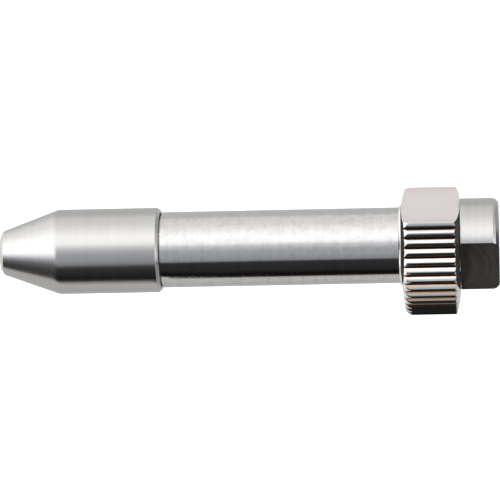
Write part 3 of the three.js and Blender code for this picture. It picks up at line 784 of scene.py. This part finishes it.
# The studio as bands round the axis, each with its degrees above the level in front, how bright it is,
# and how warm (1) or cold (-1).
studioBands = {
    "centre": [
        (-180, 0.6, 0), (-121, 0.54, 0), (-100, 0.63, 0.3), (-90, 0.65, 1.2), (-84, 0.58, 2),
        (-81, 0.4, 2), (-79, 0.05, 1), (-76, 0.015, 0.5), (-70, 0.005, 0), (-62, 0.012, 0),
        (-54, 0.028, -0.3), (-30, 0.036, -0.6), (-23, 0.05, -0.8), (-20, 0.25, -1), (-17, 0.34, -1),
        (-11, 0.4, -1), (0, 0.47, -1), (8, 0.5, -1), (15, 0.56, -0.8), (21, 0.72, -0.5),
        (27, 0.84, -0.2), (33, 1.2, 0), (39, 1.45, 0.1), (52, 1.55, 0.2), (66, 1.42, 0.3),
        (80, 1.22, 0.6), (95, 1.02, 0.6), (124, 0.88, 0.6), (136, 0.66, 0.2), (160, 0.62, 0.1),
        (180, 0.6, 0)],
    "point": [
        (-180, 1.0, 0), (-110, 0.6, 0.5), (-86, 0.62, 1.2), (-80, 0.06, 0.5), (-50, 0.06, 0),
        (-24, 0.16, -1), (-10, 0.45, -1), (2, 1.0, -0.3), (14, 1.7, 0), (70, 1.7, 0), (110, 1.2, 0.4),
        (180, 1.0, 0)],
    "tail": [
        (-180, 0.5, 0), (-130, 0.45, 0), (-86, 0.38, 0.5), (-60, 0.32, 0), (-38, 0.45, 0),
        (-20, 0.9, 0), (-5, 1.3, 0), (25, 1.25, 0.3), (45, 0.95, 0.3), (77, 0.75, 0), (120, 0.45, 0),
        (180, 0.5, 0)],
    "pastPoint": 1.3, "pastTail": 0.04, "seenTwice": 0.05, "headShift": 8}

# Where each part of the studio takes over: from and to, in the way's share along the axis.
studioEnds = {
    "point": (-0.25, -0.6), "tail": (0.35, 0.6), "pastPoint": (-0.8, -0.9), "pastTail": (0.93, 0.98),
    "byHead": (-0.083, -0.09), "lowAngles": (-30, -60)}


def bandRamp(tree, angle, bands):
    ramp = addNode(tree, "ShaderNodeValToRGB")
    tree.links.new(smoothRange(tree, angle, -math.pi, math.pi, shape="LINEAR"), ramp.inputs["Fac"])
    stops = ramp.color_ramp.elements
    for i, (degrees, light, warmth) in enumerate(bands):
        spot = (degrees + 180) / 360
        stop = stops[i] if i < 2 else stops.new(spot)
        stop.position = spot
        stop.color = (light * (1 + 0.025 * warmth), light, light * (1 - 0.055 * warmth), 1)
    return ramp.outputs["Color"]


def makeStudio(bands, ends):
    world = bpy.data.worlds.new("studio")
    bpy.context.scene.world = world
    world.use_nodes = True
    tree = world.node_tree
    back = next(n for n in tree.nodes if n.type == "BACKGROUND")
    facing = addNode(tree, "ShaderNodeTexCoord").outputs["Generated"]
    parts = addNode(tree, "ShaderNodeSeparateXYZ", {"Vector": facing}).outputs
    angle = calc(tree, "ARCTAN2", parts["Z"], calc(tree, "MULTIPLY", parts["Y"], -1.0))
    # the dark band ends sooner by the head
    lowAngle = smoothRange(tree, angle, *[math.radians(degrees) for degrees in ends["lowAngles"]])
    byHead = calc(tree, "MULTIPLY", lowAngle, smoothRange(tree, parts["X"], *ends["byHead"]))
    angle = mathSum(tree, angle, byHead, -math.radians(bands["headShift"]))
    light = bandRamp(tree, angle, bands["centre"])
    for name in ("point", "tail"):
        there = smoothRange(tree, parts["X"], *ends[name])
        light = blendColor(tree, there, light, bandRamp(tree, angle, bands[name]))
    for name in ("pastPoint", "pastTail"):
        there = smoothRange(tree, parts["X"], *ends[name])
        light = blendColor(tree, there, light, (*[bands[name]] * 3, 1))
    bounces = addNode(tree, "ShaderNodeLightPath").outputs["Ray Depth"]
    again = calc(tree, "GREATER_THAN", bounces, 2.5)  # steel seen in steel: grooves and corners look deep
    light = blendColor(tree, again, light, (*[bands["seenTwice"]] * 3, 1))
    tree.links.new(light, back.inputs["Color"])


cameraSizes = {"azimuth": 4.0, "elevation": 19.0, "roll": 2.45, "distance": 1.1, "width": 132.2 * mm,
               "aimX": -8.1 * mm, "aimUp": -0.49 * mm}


def makeCamera(sizes):
    azimuth, elevation = math.radians(sizes["azimuth"]), math.radians(sizes["elevation"])
    level = Vector((math.cos(azimuth), math.sin(azimuth), 0))
    away = Vector((math.sin(azimuth), -math.cos(azimuth), 0))
    back = away * math.cos(elevation) + Vector((0, 0, math.sin(elevation)))
    up = back.cross(level)
    camera = bpy.data.objects.new("camera", bpy.data.cameras.new("camera"))
    bpy.context.scene.collection.objects.link(camera)
    camera.data.sensor_width = 36
    camera.data.lens = 36 * sizes["distance"] / sizes["width"]
    camera.data.clip_end = 20
    aim = Vector((sizes["aimX"], 0, 0)) + up * sizes["aimUp"]
    camera.location = aim + back * sizes["distance"]
    turned = (-back).to_track_quat("-Z", "Y").to_matrix().to_4x4()
    roll = Matrix.Rotation(-math.radians(sizes["roll"]), 4, "Z")
    camera.matrix_world = Matrix.Translation(camera.location) @ turned @ roll
    bpy.context.scene.camera = camera


flagSizes = {
    "fromX": 2 * mm, "toX": -0.5 * mm, "width": 0.12, "drop": 8 * mm, "color": (0.01, 0.009, 0.008)}


# A dark strip under the collar, seen only in reflections, as the shade that a resting collar casts.
def makeFlag(sizes):
    low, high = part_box("knurled_collar")
    start, end = low.x + sizes["fromX"], high.x + sizes["toX"]
    bpy.ops.mesh.primitive_plane_add(size=1, location=((start + end) / 2, 0, low.z - sizes["drop"]))
    flag = bpy.context.object
    flag.name = "flag"
    flag.scale = (end - start, sizes["width"], 1)
    material, tree, shader, place = startMaterial("flagBlack")
    grain = addNode(tree, "ShaderNodeTexNoise", {"Vector": place, "Scale": 40.0})
    dark = (*sizes["color"], 1.0)
    tree.links.new(blendColor(tree, grain.outputs["Fac"], dark, (*[c * 1.5 for c in sizes["color"]], 1.0)),
                   shader.inputs["Base Color"])
    shader.inputs["Roughness"].default_value = 0.9
    flag.data.materials.append(material)
    flag.visible_camera = False
    flag.visible_diffuse = False
    flag.visible_shadow = False


makeFloor(stageSizes)
makeFlag(flagSizes)
makeStudio(studioBands, studioEnds)
makeCamera(cameraSizes)
bpy.context.scene.view_settings.view_transform = "Standard"
print("stage: floor, light and camera made")
